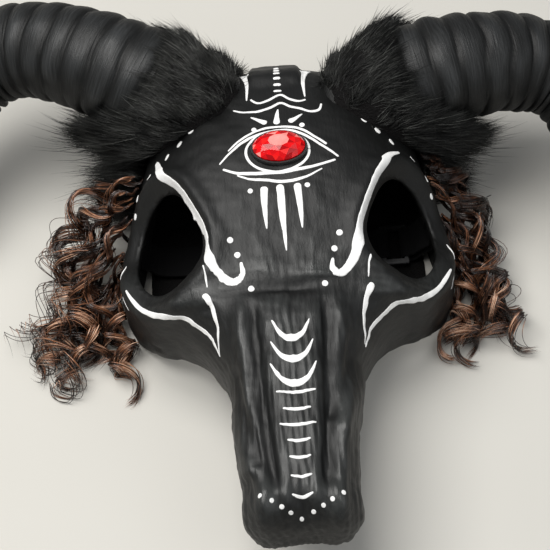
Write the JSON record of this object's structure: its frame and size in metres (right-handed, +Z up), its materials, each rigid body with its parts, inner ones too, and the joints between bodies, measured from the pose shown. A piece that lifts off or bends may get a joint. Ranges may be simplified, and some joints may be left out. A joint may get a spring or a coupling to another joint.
{
  "type": "horned skull half mask",
  "caption": "Black painted ram skull half mask with curled ribbed horns, fur collars, curly hair at the temples, a red forehead gem and an adjustable head strap.",
  "frame": {"origin": "centre of the bounding box on the ground plane, with the mask lying on its back rim", "axes": "+X to the right side seen from the muzzle end, across the horns; -Y along the muzzle; +Z up, out of the face"},
  "size_m": [0.511, 0.3932, 0.1577],
  "materials": {
    "shell_paint": "matte black paint over a moulded shell, with rubbed grey highlights",
    "horn_skin": "satin black skin over soft foam",
    "fur": "long pile faux fur",
    "hair": "curled synthetic hair, dark brown with copper lights",
    "gem": "faceted clear red acrylic with a foil back",
    "gem_cup": "black painted setting",
    "foam": "cloth-faced foam",
    "webbing": "woven elastic band",
    "keeper": "moulded black",
    "steel": "zinc plated",
    "rivet": "black enamelled"
  },
  "bodies": {
    "mask": {"skull_shell": "shell_paint", "horn_left": "horn_skin", "horn_right": "horn_skin", "horn_plate_left": "steel", "horn_plate_right": "steel", "horn_screw_left_1": "steel", "horn_screw_left_2": "steel", "horn_screw_right_1": "steel", "horn_screw_right_2": "steel", "fur_collar_left": "fur", "fur_collar_right": "fur", "fur_temple_left": "fur", "fur_temple_right": "fur", "gem_cup": "gem_cup", "forehead_gem": "gem", "pad_forehead": "foam", "pad_nose": "foam", "pad_cheek_left": "foam", "pad_cheek_right": "foam", "hair_weft_left": "webbing", "hair_weft_right": "webbing", "hair_lock_left_1": "hair", "hair_lock_left_2": "hair", "hair_lock_left_3": "hair", "hair_lock_left_4": "hair", "hair_lock_right_1": "hair", "hair_lock_right_2": "hair", "hair_lock_right_3": "hair", "hair_lock_right_4": "hair", "head_strap": "webbing", "strap_tab_right": "webbing", "strap_ring": "steel", "strap_rivet_left": "rivet", "strap_rivet_right": "rivet", "hood_cloth": "foam"},
    "keeper": {"strap_keeper": "keeper"}
  },
  "joints": [
    {"name": "keeper_slide", "type": "slide", "parent": "mask", "child": "keeper", "axis": [1, 0, 0], "range_m": [-0.016, 0.016]}
  ]
}
